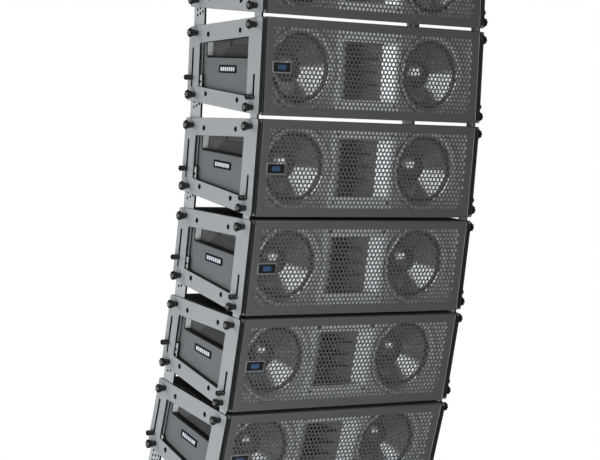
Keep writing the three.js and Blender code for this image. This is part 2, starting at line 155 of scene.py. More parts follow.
# Drivers and horn. Depths count from the plane of the driver rings.
WOOFER_X = 209 * MM
RING_OPENING = 98.5 * MM
DRIVER_SEGMENTS = 96
HORN_FLANGE = 206 * MM
FLANGE_THICKNESS = 3 * MM
HORN_NOTCH = 111 * MM
HORN_MOUTH = (180 * MM, 149 * MM)
HORN_THROAT = 26 * MM
HORN_DEPTH = 72 * MM
FLARE_DEPTH = 24 * MM
FLARE_POWER = 1.25
VANE_DEPTH = 30 * MM
HORN_WALL = 4 * MM
HORN_STEPS = 8
HORN_CELLS = 4
VANE_THICKNESS = 4 * MM
VANE_PITCH = 33.5 * MM
HORN_SCREW = 87.5 * MM

# ---------------------------------------------------------------- places

JOINTS = {joint["name"]: joint for joint in frame["joints"]}
CABINETS = sorted(name for name in frame["bodies"] if name.startswith("cabinet_"))


def cabinet_pose(number):
    """The matrix from a cabinet's own frame to the row frame: its links slide along its Z."""
    slide = JOINTS[f"link_slide_{number}"]["axis"]
    turn = Matrix.Rotation(math.atan2(-slide[1], slide[2]), 4, "X")
    grille = frame["nodes"][f"cabinet_{number}_grille"].data.vertices
    back = turn.inverted()
    points = [back @ vertex.co for vertex in grille]
    face_y = min(point.y for point in points)
    heights = [point.z for point in points]
    return turn @ Matrix.Translation((0, face_y, (min(heights) + max(heights)) / 2))


POSES = {number: cabinet_pose(number) for number in range(1, len(CABINETS) + 1)}


def local_box(node, number=1):
    """The lowest and highest corners of a CAD node in its cabinet's own frame."""
    back = POSES[number].inverted()
    points = [back @ vertex.co for vertex in frame["nodes"][node].data.vertices]
    low = Vector(min(point[i] for point in points) for i in range(3))
    high = Vector(max(point[i] for point in points) for i in range(3))
    return low, high


# Driving sizes measured on the first cabinet's CAD nodes.
_, enclosure_high = local_box("cabinet_1_enclosure")
_, grille_high = local_box("cabinet_1_grille")
frame_low, frame_high = local_box("cabinet_1_frame_right")
amp_low, amp_high = local_box("cabinet_1_amplifier")

SIDE = enclosure_high.x
DEPTH = enclosure_high.y
FRAME_IN = frame_low.x
FRAME_OUT = FRAME_IN + 2 * PLATE + CORE
FRAME_DEPTH = frame_high.y
# The frame's height at the grille's face, and how its two edges close in towards the rear.
FRAME_FRONT = 244.3 * MM
LEAN = math.tan(math.radians(4.66))
# How far the enclosure and the grille stand out past the frame's top and bottom edges.
EDGE_PROUD = 0.4 * MM


def frame_edge(y):
    """Half the frame's height at a depth."""
    return FRAME_FRONT / 2 - y * LEAN


def shell_edge(y):
    """Half the enclosure's height at a depth."""
    return frame_edge(y) + EDGE_PROUD


GRILLE_HALF = (grille_high.x, shell_edge(0))
HINGE_Z = -frame_edge(0) - HINGE_DROP
PINS = {
    "upper_front": (FRONT_PIN_Y, frame_edge(FRONT_PIN_Y) - PIN_INSETS["upper_front"]),
    "lower_front": (FRONT_PIN_Y, PIN_INSETS["lower_front"] - frame_edge(FRONT_PIN_Y)),
    "upper_rear": (REAR_PIN_Y, frame_edge(REAR_PIN_Y) - PIN_INSETS["upper_rear"]),
    "lower_rear": (REAR_PIN_Y, PIN_INSETS["lower_rear"] - frame_edge(REAR_PIN_Y)),
}

# ---------------------------------------------------------------- materials

# Slow patches per metre, the depth of the grain's bump, and the change of a fully cool grey.
PATCH_SCALE = 9
BUMP_DISTANCE = 0.3 * MM
LEAST_ROUGHNESS = 0.02
RED_LOSS = 0.065
BLUE_GAIN = 0.035


def noise(nodes, links, coords, scale, detail):
    """A noise texture on the piece's own coordinates."""
    texture = nodes.new("ShaderNodeTexNoise")
    texture.inputs["Scale"].default_value = scale
    texture.inputs["Detail"].default_value = detail
    links.new(coords.outputs["Object"], texture.inputs["Vector"])
    return texture


def spread(nodes, links, texture, width, middle):
    """The texture's value, spread over a width about a middle value."""
    made = nodes.new("ShaderNodeMath")
    made.operation = "MULTIPLY_ADD"
    made.inputs[1].default_value = width
    made.inputs[2].default_value = middle - width / 2
    links.new(texture.outputs["Fac"], made.inputs[0])
    return made


def material(name, color, roughness, metallic=0.0, grain=0.0, grain_size=2 * MM, bump=0.0,
             patch=0.0, shine=0.5, roughness_spread=0.06):
    """A surface with fine grain and slow patches in its colour, and a bump of the same grain."""
    made = bpy.data.materials.new(name)
    made.use_nodes = True
    nodes = made.node_tree.nodes
    links = made.node_tree.links
    shader = nodes["Principled BSDF"]
    shader.inputs["Metallic"].default_value = metallic
    shader.inputs["Specular IOR Level"].default_value = shine
    coords = nodes.new("ShaderNodeTexCoord")
    fine = noise(nodes, links, coords, 1 / grain_size, 3)
    slow = noise(nodes, links, coords, PATCH_SCALE, 2)
    shade = spread(nodes, links, fine, grain, 1)
    drift = spread(nodes, links, slow, patch, 0)
    total = nodes.new("ShaderNodeMath")
    total.operation = "ADD"
    links.new(shade.outputs[0], total.inputs[0])
    links.new(drift.outputs[0], total.inputs[1])
    tint = nodes.new("ShaderNodeVectorMath")
    tint.operation = "SCALE"
    tint.inputs[0].default_value = color
    links.new(total.outputs[0], tint.inputs["Scale"])
    links.new(tint.outputs[0], shader.inputs["Base Color"])
    gloss = nodes.new("ShaderNodeMapRange")
    gloss.inputs["To Min"].default_value = max(LEAST_ROUGHNESS, roughness - roughness_spread)
    gloss.inputs["To Max"].default_value = min(1.0, roughness + roughness_spread)
    links.new(fine.outputs["Fac"], gloss.inputs["Value"])
    links.new(gloss.outputs[0], shader.inputs["Roughness"])
    if bump:
        relief = nodes.new("ShaderNodeBump")
        relief.inputs["Strength"].default_value = bump
        relief.inputs["Distance"].default_value = BUMP_DISTANCE
        links.new(fine.outputs["Fac"], relief.inputs["Height"])
        links.new(relief.outputs["Normal"], shader.inputs["Normal"])
    return made


def grey(value, cool=0.5):
    """A linear grey, from neutral at no coolness to slightly blue at full coolness."""
    return (value * (1 - RED_LOSS * cool), value, value * (1 + BLUE_GAIN * cool))


FRAME_GREY = material("frame_grey_paint", grey(0.395, 1), 0.45, grain=0.05, patch=0.05, bump=0.05)
LINK_GREY = material("link_grey_paint", grey(0.5, 1), 0.4, grain=0.05, patch=0.05, bump=0.05)
# Near-black painted shade: on the frames' and links' edges, on the frames' filling seen through their
# holes, and on the pocket's floor, roof and rim.
PAINTED_SHADE_BLACK = material("painted_shade_black", grey(0.014), 0.5, grain=0.3, bump=0.05, shine=0.2)
COAT_SIDE = material("charcoal_coating", grey(0.175, 1), 0.75, grain=0.3, grain_size=1.5 * MM,
                     patch=0.12, bump=0.35)
# Painted shade: black on the enclosure's top, bottom and rear, and on the baffle's hidden faces.
COAT_PAINTED_SHADE = material("black_coating_painted_shade", grey(0.007), 0.8, grain=0.3, grain_size=1.5 * MM, bump=0.3,
                      shine=0.2)
GRILLE_PAINT = material("grille_paint", grey(0.115), 0.6, grain=0.08, patch=0.06, bump=0.05,
                        shine=0.2)
BAFFLE_PAINT = material("baffle_paint", grey(0.5), 0.6, grain=0.1, patch=0.05, bump=0.1,
                        shine=0.3)
POCKET_BACK = material("pocket_back", grey(0.1), 0.6, grain=0.2, patch=0.1, bump=0.2)
# A painted highlight: the light rear wall of the handle pocket.
POCKET_PAINTED_HIGHLIGHT = material("pocket_end_painted_highlight", grey(0.8), 0.5, grain=0.05, patch=0.1)
POCKET_DARK = material("pocket_panel", grey(0.06), 0.6, grain=0.1, patch=0.1)
RUBBER = material("black_pin_grip", grey(0.01), 0.16, grain=0.2, shine=0.5, roughness_spread=0.04)
# A painted highlight: the light hub in the middle of each pin's head.
PIN_HUB_PAINTED_HIGHLIGHT = material("pin_hub_painted_highlight", grey(0.16), 0.3, grain=0.5, grain_size=4 * MM, bump=0.1)
STEEL = material("zinc_steel", grey(0.45), 0.32, metallic=0.9, grain=0.1, patch=0.1)
CONE = material("cone_face", grey(0.33), 0.2, metallic=0.8, grain=0.06, grain_size=6 * MM,
                patch=0.1, roughness_spread=0.03)
SURROUND = material("rubber_surround", grey(0.035), 0.3, grain=0.1)
BEAD = material("glossy_bead", grey(0.6), 0.18, metallic=0.85, grain=0.05, roughness_spread=0.03)
CAP_GLOSS = material("dust_cap", grey(0.3), 0.18, metallic=0.9, grain=0.06, grain_size=6 * MM)
BASKET = material("basket_paint", grey(0.02), 0.35, grain=0.1, bump=0.05)
HORN_PLASTIC = material("horn_plastic", grey(0.88), 0.42, metallic=0.5, grain=0.06, patch=0.04,
                        bump=0.05)
# Painted shade: the horn's manifold behind the flare, its lids and its throat's end.
HORN_PAINTED_SHADE = material("horn_manifold_painted_shade", grey(0.12), 0.45, grain=0.1, patch=0.05)
# Near-black vanes, whose colour also paints the shade under each vane.
VANE_BLACK_AND_SHADE = material("horn_vane", grey(0.02), 0.45, grain=0.1, patch=0.05)
AMP_BLACK = material("amplifier_black", grey(0.02), 0.45, metallic=0.3, grain=0.15, bump=0.1)
BADGE_DARK = material("badge_dark", grey(0.008), 0.3, grain=0.1)
BADGE_SILVER = material("badge_silver", grey(0.4), 0.35, metallic=0.4, grain=0.05)
BADGE_BLUE = material("badge_blue", (0.04, 0.10, 0.22), 0.35, grain=0.1)
PLATE_WHITE = material("nameplate_inlay", (0.72, 0.8, 0.88), 0.4, grain=0.08)

# ---------------------------------------------------------------- mesh tools


def bridge(shape, ring, after):
    """Four-sided faces between two closed rings with equally many corners."""
    for i in range(len(ring)):
        j = (i + 1) % len(ring)
        shape.faces.new((ring[i], ring[j], after[j], after[i]))


def prism(outline, low, high, axis="X", holes=()):
    """A closed solid over an outline: (y, z) points along X, (x, z) along Y or (x, y) along Z."""
    loops = [list(outline), *[list(hole) for hole in holes]]
    flat = [[Vector((a, b, 0)) for a, b in loop] for loop in loops]
    faces = tessellate_polygon(flat)
    shape = bmesh.new()

    def lift(a, b, level):
        return {"X": (level, a, b), "Y": (a, level, b), "Z": (a, b, level)}[axis]

    rings = []
    for loop in loops:
        near = [shape.verts.new(lift(a, b, low)) for a, b in loop]
        far = [shape.verts.new(lift(a, b, high)) for a, b in loop]
        rings.append((near, far))
    near_all = [vertex for near, _ in rings for vertex in near]
    far_all = [vertex for _, far in rings for vertex in far]
    for a, b, c in faces:
        shape.faces.new((near_all[a], near_all[b], near_all[c]))
        shape.faces.new((far_all[c], far_all[b], far_all[a]))
    for near, far in rings:
        bridge(shape, near, far)
    bmesh.ops.recalc_face_normals(shape, faces=shape.faces)
    return shape


def block(low, high):
    """A rectangular solid between two corners."""
    outline = [(low[1], low[2]), (high[1], low[2]), (high[1], high[2]), (low[1], high[2])]
    return prism(outline, low[0], high[0])


def lathe(profile, segments, axis="Y", centre=(0, 0, 0)):
    """A solid of revolution from (radius, along) points, about an axis through centre."""
    shape = bmesh.new()
    rings = []
    for radius, along in profile:
        if radius < 1e-7:
            rings.append([shape.verts.new((0, 0, along))])
            continue
        angles = [2 * math.pi * i / segments for i in range(segments)]
        rings.append([
            shape.verts.new((radius * math.cos(t), radius * math.sin(t), along)) for t in angles
        ])
    closed = len(rings[0]) > 1
    count = len(rings) if closed else len(rings) - 1
    for k in range(count):
        ring, after = rings[k], rings[(k + 1) % len(rings)]
        for i in range(segments):
            j = (i + 1) % segments
            corners = [ring[i % len(ring)], ring[j % len(ring)],
                       after[j % len(after)], after[i % len(after)]]
            face = list(dict.fromkeys(corners))
            if len(face) > 2:
                shape.faces.new(face)
    quarter = math.pi / 2
    turn = Matrix.Rotation(-quarter, 4, "X") if axis == "Y" else Matrix.Rotation(quarter, 4, "Y")
    shape.transform(Matrix.Translation(centre) @ turn)
    bmesh.ops.recalc_face_normals(shape, faces=shape.faces)
    return shape


def bevelled(shape, width, segments=2, angle=40):
    """Rounds the sharp edges of a solid."""
    sharp = [
        edge for edge in shape.edges
        if len(edge.link_faces) == 2 and edge.calc_face_angle(0) > math.radians(angle)
    ]
    bmesh.ops.bevel(
        shape, geom=sharp, offset=width, segments=segments, profile=0.5,
        affect="EDGES", clamp_overlap=True,
    )
    return shape


def painted(shape, index):
    """Every face of a shape takes one of the piece's materials."""
    for face in shape.faces:
        face.material_index = index
    return shape


def painted_by(shape, rule):
    """Each face takes the material that the rule gives for its normal and centre."""
    shape.normal_update()
    for face in shape.faces:
        face.material_index = rule(face.normal, face.calc_center_median())
    return shape


def joined(*shapes):
    """Several solids as one mesh."""
    whole = bmesh.new()
    for shape in shapes:
        mesh = bpy.data.meshes.new("part")
        shape.to_mesh(mesh)
        shape.free()
        whole.from_mesh(mesh)
        bpy.data.meshes.remove(mesh)
    return whole


def finished(name, shape, materials, smooth=35):
    """The mesh of a shape, smooth where its faces meet at small angles."""
    mesh = bpy.data.meshes.new(name)
    shape.to_mesh(mesh)
    shape.free()
    for entry in materials:
        mesh.materials.append(entry)
    mesh.shade_smooth()
    mesh.set_sharp_from_angle(angle=math.radians(smooth))
    return mesh


def mirrored(mesh):
    """A copy of a mesh for the other side of the cabinet."""
    shape = bmesh.new()
    shape.from_mesh(mesh)
    shape.transform(Matrix.Diagonal((-1, 1, 1, 1)))
    bmesh.ops.reverse_faces(shape, faces=shape.faces)
    other = mesh.copy()
    shape.to_mesh(other)
    shape.free()
    return other


# ---------------------------------------------------------------- outlines


def rectangle(x0, x1, z0, z1):
    """Four corners, which serve any pair of axes."""
    return [(x0, z0), (x1, z0), (x1, z1), (x0, z1)]


def arc(y, z, radius, start, sweep, steps):
    """Points on an arc with both its ends. Angles are in radians."""
    angles = [start + sweep * i / steps for i in range(steps + 1)]
    return [(y + radius * math.cos(t), z + radius * math.sin(t)) for t in angles]


def circle(y, z, radius, points=24):
    """A full circle without a doubled end point."""
    return arc(y, z, radius, 0, 2 * math.pi, points)[:-1]


def rounded(points, radius, steps=5):
    """An outline whose corners are rounded with arcs."""
    made = []
    count = len(points)
    for i in range(count):
        corner = Vector(points[i])
        before = (Vector(points[i - 1]) - corner).normalized()
        after = (Vector(points[(i + 1) % count]) - corner).normalized()
        half = before.angle(after) / 2
        reach = radius / math.tan(half)
        centre = corner + (before + after).normalized() * (radius / math.sin(half))
        start = corner + before * reach - centre
        end = corner + after * reach - centre
        sweep = start.angle_signed(end)
        for k in range(steps + 1):
            angle = -sweep * k / steps
            swung = Vector((
                start.x * math.cos(angle) - start.y * math.sin(angle),
                start.x * math.sin(angle) + start.y * math.cos(angle),
            ))
            made.append(tuple(centre + swung))
    return made


def wedge(edge, inset, y0, y1):
    """The side view of the tapered cabinet between two depths."""
    return [
        (y0, inset - edge(y0)), (y1, inset - edge(y1)),
        (y1, edge(y1) - inset), (y0, edge(y0) - inset),
    ]


def slot_outline(y, z0, z1, width=SLOT_WIDTH, steps=8):
    """A slot with round ends."""
    half = width / 2
    return arc(y, z1 - half, half, 0, math.pi, steps) + arc(y, z0 + half, half, math.pi, math.pi, steps)


def link_outline(width, y, pin_z, top_z, steps=20):
    """A strip with a round nose about its lower pin."""
    half = width / 2
    nose = arc(y, pin_z, half, math.pi, math.pi, steps)
    return [(y - half, top_z), *nose, (y + half, top_z)]


# ---------------------------------------------------------------- rigging frame


def faces_or_edges(normal, _centre):
    """Paint on a plate's two faces; every edge is painted near-black as shade, where the edges face
    away from the light.
    """
    return 0 if abs(normal.x) > 0.8 else 1


def chord_core(sign, chord):
    """The filling of the top or bottom chord between the plates, seen from the side."""
    points = []
    for y in (CORE_FRONT, CORE_REAR):
        points.append((y, sign * (frame_edge(y) - chord)))
    for y in (CORE_REAR, CORE_FRONT):
        points.append((y, sign * frame_edge(y)))
    return points


def upright_core(y0, y1):
    """A strip between the plates along the front or the rear edge."""
    return wedge(frame_edge, CORE_END, y0, y1)


def frame_mesh():
    """Two window plates with a filling between them that leaves the links' channels free."""
    outline = rounded(wedge(frame_edge, 0, 0, FRAME_DEPTH), FRAME_CORNER)
    front, rear = FRONT_POST, FRAME_DEPTH - REAR_POST
    window = rounded([
        (front, BOTTOM_CHORD - frame_edge(front)), (rear, BOTTOM_CHORD - frame_edge(rear)),
        (rear, frame_edge(rear) - TOP_CHORD), (front, frame_edge(front) - TOP_CHORD),
    ], WINDOW_CORNER)
    stow = [
        circle(y * MM, sign * (frame_edge(y * MM) - inset * MM), STOW_RADIUS)
        for y, inset, sign in STOW_HOLES
    ]
    slots = [slot_outline(REAR_SLOT_Y, *REAR_SLOT), slot_outline(FRONT_PIN_Y, *FRONT_SLOT)]
    plates = [
        prism(outline, FRAME_IN, FRAME_IN + PLATE, holes=[window]),
        prism(outline, FRAME_OUT - PLATE, FRAME_OUT, holes=[window, *stow, *slots]),
    ]
    post_top = PINS["upper_front"][1] - POST_BELOW_PIN
    post_rear = FRONT_POST - POST_BEHIND_WINDOW
    post = [
        (CORE_STRIP, POST_END - frame_edge(CORE_STRIP)), (post_rear, POST_END - frame_edge(post_rear)),
        (post_rear, post_top), (CORE_STRIP, post_top),
    ]
    cores = [
        chord_core(1, TOP_CHORD),
        chord_core(-1, BOTTOM_CHORD),
        upright_core(CORE_GAP, CORE_STRIP),
        upright_core(FRAME_DEPTH - REAR_STRIP, FRAME_DEPTH - CORE_GAP),
        post,
    ]
    shapes = [painted_by(bevelled(plate, FRAME_BEVEL, 1), faces_or_edges) for plate in plates]
    # The filling between the plates is painted near-black as shade, seen through the stow holes and the
    # slots.
    for points in cores:
        core = prism(points, FRAME_IN + PLATE + CORE_GAP, FRAME_OUT - PLATE - CORE_GAP)
        shapes.append(painted(bevelled(core, FRAME_BEVEL, 1), 1))
    return finished("rigging_frame", joined(*shapes), [FRAME_GREY, PAINTED_SHADE_BLACK])


def front_link_mesh():
    """The fixed link in the front channel, with the eye for the hinge pin below it."""
    low = FRAME_IN + PLATE + LINK_GAP
    outline = link_outline(FRONT_LINK_WIDTH, FRONT_PIN_Y, HINGE_Z, PINS["lower_front"][1])
    hole = circle(FRONT_PIN_Y, HINGE_Z, EYE_RADIUS)
    shape = bevelled(prism(outline, low, low + LINK_THICKNESS, holes=[hole]), FRAME_BEVEL, 1)
    return finished("front_link", painted_by(shape, faces_or_edges), [LINK_GREY, PAINTED_SHADE_BLACK])


def rear_link_mesh():
    """The rear link with its height zero at its lower pin."""
    low = FRAME_IN + PLATE + LINK_GAP
    outline = link_outline(REAR_LINK_WIDTH, REAR_PIN_Y, 0, KNOB_RISE + 8 * MM)
    holes = [circle(REAR_PIN_Y, 0, EYE_RADIUS)]
    for offset, start in LINK_HOLE_COLUMNS:
        for row in range(LINK_HOLE_ROWS):
            z = (start + LINK_HOLE_PITCH * row) * MM
            if z < KNOB_RISE - 2 * MM:
                holes.append(circle(REAR_PIN_Y + offset * MM, z, LINK_HOLE_RADIUS, 14))
    shape = bevelled(prism(outline, low, low + LINK_THICKNESS, holes=holes), 0.4 * MM, 1)
    return finished("rear_link", painted_by(shape, faces_or_edges), [LINK_GREY, PAINTED_SHADE_BLACK])


# A pin's grip and hub and a stow knob: radius and distance out from the plate, in millimetres.
PIN_PROFILE = (
    (0, -8), (5, -8), (5, 1), (6.6, 1), (7.2, 2), (7.4, 4), (8, 9), (9.2, 14), (9.6, 16),
    (7.6, 17.2), (7.6, 18.6), (0, 18.6),
)
HUB_PROFILE = ((0, 24.5), (5.5, 24.5), (5.5, 26.4), (4.6, 27.4), (2.6, 27.8), (2.2, 26.6), (0, 26.6))
KNOB_PROFILE = (
    (0, -7), (2.9, -7), (2.9, 0.6), (6.4, 0.6), (7, 1.6), (7, 7), (6.4, 8.4), (6.4, 10), (7.2, 11.4),
    (7.2, 19), (6.6, 21), (5, 22.2), (0, 22.6),
)
HEAD_LOBES = 8
HEAD_OUTER = 12 * MM
HEAD_INNER = 9.6 * MM
HEAD_NEAR = 18.8 * MM
HEAD_FAR = 24.6 * MM


def turned(profile, y, z, segments=28):
    """A round piece that stands out from the frame's outer plate."""
    points = [(radius * MM, FRAME_OUT + along * MM) for radius, along in profile]
    return lathe(points, segments, "X", (0, y, z))


def lobed(y, z, outer, inner, lobes, steps=5):
    """A round outline with lobes for the fingers."""
    points = []
    count = lobes * steps * 2
    for i in range(count):
        angle = 2 * math.pi * i / count
        radius = inner + (outer - inner) * (0.5 + 0.5 * math.cos(lobes * angle))
        points.append((y + radius * math.cos(angle), z + radius * math.sin(angle)))
    return points


def pin_shape(y, z):
    """One quick-release pin: a tapered grip and a lobed head with a light hub, which is a painted
    highlight.
    """
    grip = painted(turned(PIN_PROFILE, y, z), 0)
    outline = lobed(y, z, HEAD_OUTER, HEAD_INNER, HEAD_LOBES)
    head = bevelled(prism(outline, FRAME_OUT + HEAD_NEAR, FRAME_OUT + HEAD_FAR), 1.6 * MM, 2, 60)
    hub = painted(turned(HUB_PROFILE, y, z, 20), 1)
    return joined(grip, painted(head, 0), hub)


def pins_mesh():
    """The four pins of one frame."""
    shapes = [pin_shape(y, z) for y, z in PINS.values()]
    return finished("quick_release_pins", joined(*shapes), [RUBBER, PIN_HUB_PAINTED_HIGHLIGHT])


def knob_mesh(y, z):
    """A link's knob, which reaches out through its slot."""
    return finished("stow_knob", turned(KNOB_PROFILE, y, z), [RUBBER])


# ---------------------------------------------------------------- enclosure


def pocket_outline(margin):
    """The handle pocket's opening from the side, larger by a margin all round."""
    bottom = POCKET_FLOOR - margin
    y0, y1 = POCKET_FRONT - margin, POCKET_REAR + margin
    return [
        (y0, bottom), (y1, bottom),
        (y1, shell_edge(y1) - POCKET_TOP_INSET + margin),
        (y0, shell_edge(y0) - POCKET_TOP_INSET + margin),
    ]


def shell_paint(normal, centre):
    """Charcoal sides, light inner faces in front of the baffle, and black elsewhere: the black on the
    top and bottom is painted shade.
    """
    inward = -normal.x * centre.x - normal.z * centre.z
    if centre.y < BAFFLE_FRONT and inward > 0 and abs(normal.y) < 0.5:
        return 2
    return 0 if abs(normal.x) > 0.8 else 1


def shell_mesh():
    """Side, top, bottom and rear panels of the plywood enclosure."""
    hole = rounded(pocket_outline(POCKET_WALL), 8 * MM)
    inner = SIDE - WALL
    side = prism(wedge(shell_edge, 0, SHELL_FRONT, DEPTH), inner, SIDE, holes=[hole])
    other = side.copy()
    other.transform(Matrix.Diagonal((-1, 1, 1, 1)))
    bmesh.ops.recalc_face_normals(other, faces=other.faces)
    panels = []
    for sign in (-1, 1):
        panels.append(prism([
            (SHELL_FRONT, sign * shell_edge(SHELL_FRONT)),
            (DEPTH, sign * shell_edge(DEPTH)),
            (DEPTH, sign * (shell_edge(DEPTH) - WALL)),
            (SHELL_FRONT, sign * (shell_edge(SHELL_FRONT) - WALL)),
        ], -inner, inner))
    height = shell_edge(DEPTH) - WALL
    opening = rectangle(
        amp_low.x + AMP_MARGIN, amp_high.x - AMP_MARGIN,
        amp_low.z + AMP_MARGIN, amp_high.z - AMP_MARGIN)
    rear = prism(rectangle(-inner, inner, -height, height), DEPTH - WALL, DEPTH, "Y", [opening])
    solids = [bevelled(solid, 1.2 * MM, 2) for solid in (side, other, *panels, rear)]
    whole = painted_by(joined(*solids), shell_paint)
    return finished("enclosure_shell", whole, [COAT_SIDE, COAT_PAINTED_SHADE, BAFFLE_PAINT])


def cup_paint(normal, _centre):
    """The pocket's rear wall is painted light as a painted highlight where it catches the light, and
    its floor, roof and rim are painted black as shade.
    """
    return 1 if normal.y < -0.7 else 2


def pocket_cup_mesh():
    """The moulded handle cup, with a darker panel low in it and a small tab."""
    inside = rounded(pocket_outline(0), 5 * MM)
    outside = rounded(pocket_outline(POCKET_WALL - 0.3 * MM), 8 * MM)
    deep = SIDE - POCKET_DEPTH
    ring = painted_by(prism(outside, deep, SIDE - 0.3 * MM, holes=[inside]), cup_paint)
    back = painted(prism(outside, deep - POCKET_WALL, deep), 0)
    front, floor_z = POCKET_FRONT + 1 * MM, POCKET_FLOOR + 0.5 * MM
    panel = prism([
        (front, floor_z), (226 * MM, floor_z), (189 * MM, 50 * MM), (front, 54 * MM),
    ], deep + 0.1 * MM, deep + 2 * MM)
    tab = block((deep + 0.1 * MM, 180 * MM, 51 * MM), (deep + 4 * MM, 183 * MM, 64 * MM))
    shapes = [
        ring, back,
        painted(bevelled(panel, 0.4 * MM, 1), 3),
        painted(bevelled(tab, 0.4 * MM, 1), 3),
    ]
    materials = [POCKET_BACK, POCKET_PAINTED_HIGHLIGHT, PAINTED_SHADE_BLACK, POCKET_DARK]
    return finished("handle_cup", joined(*shapes), materials)


def front_or_rest(normal, _centre):
    """Paint on the face towards the grille, black on the rest."""
    return 0 if normal.y < -0.5 else 1


def baffle_mesh():
    """The board that carries the drivers and the horn."""
    side = SIDE - WALL - FIT_GAP
    board_back = POCKET_FRONT - POCKET_WALL - FIT_GAP
    top = shell_edge(board_back) - WALL - FIT_GAP
    half_w = HORN_MOUTH[0] / 2 + HORN_WALL + 1 * MM
    half_h = HORN_MOUTH[1] / 2 + HORN_WALL + 1 * MM
    holes = [circle(x, 0, RING_OPENING + 0.7 * MM, DRIVER_SEGMENTS) for x in (-WOOFER_X, WOOFER_X)]
    holes.append(rectangle(-half_w, half_w, -half_h, half_h))
    outline = rectangle(-side, side, -top, top)
    shape = painted_by(prism(outline, BAFFLE_FRONT, board_back, "Y", holes), front_or_rest)
    return finished("baffle", shape, [BAFFLE_PAINT, COAT_PAINTED_SHADE])


# ---------------------------------------------------------------- grille


def hexagon(x, z, across):
    """A hexagon with two upright sides, from its lower right corner."""
    radius = across / math.sqrt(3)
    angles = [math.radians(-30 + 60 * i) for i in range(6)]
    return [(x + radius * math.cos(t), z + radius * math.sin(t)) for t in angles]


def hole_centres():
    """Staggered rows of holes, centred on the sheet."""
    row_pitch = HOLE_PITCH * math.sqrt(3) / 2
    for row in range(HOLE_ROWS):
        shift = HOLE_PITCH / 4 if row % 2 else -HOLE_PITCH / 4
        z = (row - (HOLE_ROWS - 1) / 2) * row_pitch
        for column in range(HOLE_COLUMNS):
            x = (column - (HOLE_COLUMNS - 1) / 2) * HOLE_PITCH + shift
            yield x, z


def perforated_field(shape):
    """The webs between the holes: each hole's cell, from the cell's edge to the hole's edge."""
    for x, z in hole_centres():
        cell = [shape.verts.new((a, 0, b)) for a, b in hexagon(x, z, HOLE_PITCH)]
        hole = [shape.verts.new((a, 0, b)) for a, b in hexagon(x, z, HOLE_ACROSS)]
        bridge(shape, cell, hole)
    bmesh.ops.remove_doubles(shape, verts=shape.verts, dist=0.02 * MM)


def outer_loop(shape):
    """The corners of the field's outer boundary, in order."""
    outer = {edge: edge.is_boundary for edge in shape.edges}
    start = max(shape.verts, key=lambda v: v.co.x + v.co.z)
    loop = [start]
    edge = next(e for e in start.link_edges if outer[e])
    vertex = edge.other_vert(start)
    while vertex is not start:
        loop.append(vertex)
        edge = next(e for e in vertex.link_edges if outer[e] and e is not edge)
        vertex = edge.other_vert(vertex)
    return loop


def grille_mesh():
    """The perforated sheet, with a plain margin round the field of holes."""
    shape = bmesh.new()
    perforated_field(shape)
    loop = outer_loop(shape)
    half_x, half_z = (half - GRILLE_EDGE for half in GRILLE_HALF)
    corners = rectangle(-half_x, half_x, -half_z, half_z)
    margin = [shape.verts.new((x, 0, z)) for x, z in corners]
    flat = [[Vector((v.co.x, v.co.z, 0)) for v in ring] for ring in (margin, loop)]
    both = [*margin, *loop]
    for triangle in tessellate_polygon(flat):
        shape.faces.new([both[i] for i in triangle])
    bmesh.ops.recalc_face_normals(shape, faces=shape.faces)
    sheet = shape.faces[:]
    if sum(face.normal.y for face in sheet) > 0:
        bmesh.ops.reverse_faces(shape, faces=sheet)
    grown = bmesh.ops.extrude_face_region(shape, geom=sheet, use_keep_orig=True)
    moved = [item for item in grown["geom"] if isinstance(item, bmesh.types.BMVert)]
    bmesh.ops.translate(shape, verts=moved, vec=(0, GRILLE_SHEET, 0))
    bmesh.ops.recalc_face_normals(shape, faces=shape.faces)
    return finished("grille_sheet", shape, [GRILLE_PAINT], 30)


def fold(inside, steps=6):
    """A quarter round from the sheet to the rim, this far inside the pan's outer surface."""
    radius = GRILLE_EDGE - inside
    angles = [math.pi / 2 * i / steps for i in range(steps + 1)]
    return [(inside + radius * (1 - math.sin(t)), inside + radius * (1 - math.cos(t))) for t in angles]


def grille_rim_mesh():
    """The rounded edge and the folded rim around the perforated sheet."""
    profile = [*fold(0), (0, GRILLE_RIM), (GRILLE_SHEET, GRILLE_RIM), *reversed(fold(GRILLE_SHEET))]
    shape = bmesh.new()
    rings = []
    for inset, depth in profile:
        half_x = GRILLE_HALF[0] - inset
        half_z = GRILLE_HALF[1] - inset - depth * LEAN
        corners = rectangle(-half_x, half_x, -half_z, half_z)
        rings.append([shape.verts.new((x, depth, z)) for x, z in corners])
    for k, ring in enumerate(rings):
        bridge(shape, ring, rings[(k + 1) % len(rings)])
    bmesh.ops.recalc_face_normals(shape, faces=shape.faces)
    return finished("grille_rim", shape, [GRILLE_PAINT], 40)


# ---------------------------------------------------------------- badges


def tile(x0, x1, z0, z1, y0, y1, corner, edge, paint):
    """A thin raised tile that faces forward."""
    outline = rounded(rectangle(x0, x1, z0, z1), corner)
    return painted(bevelled(prism(outline, y0, y1, "Y"), edge, 1), paint)


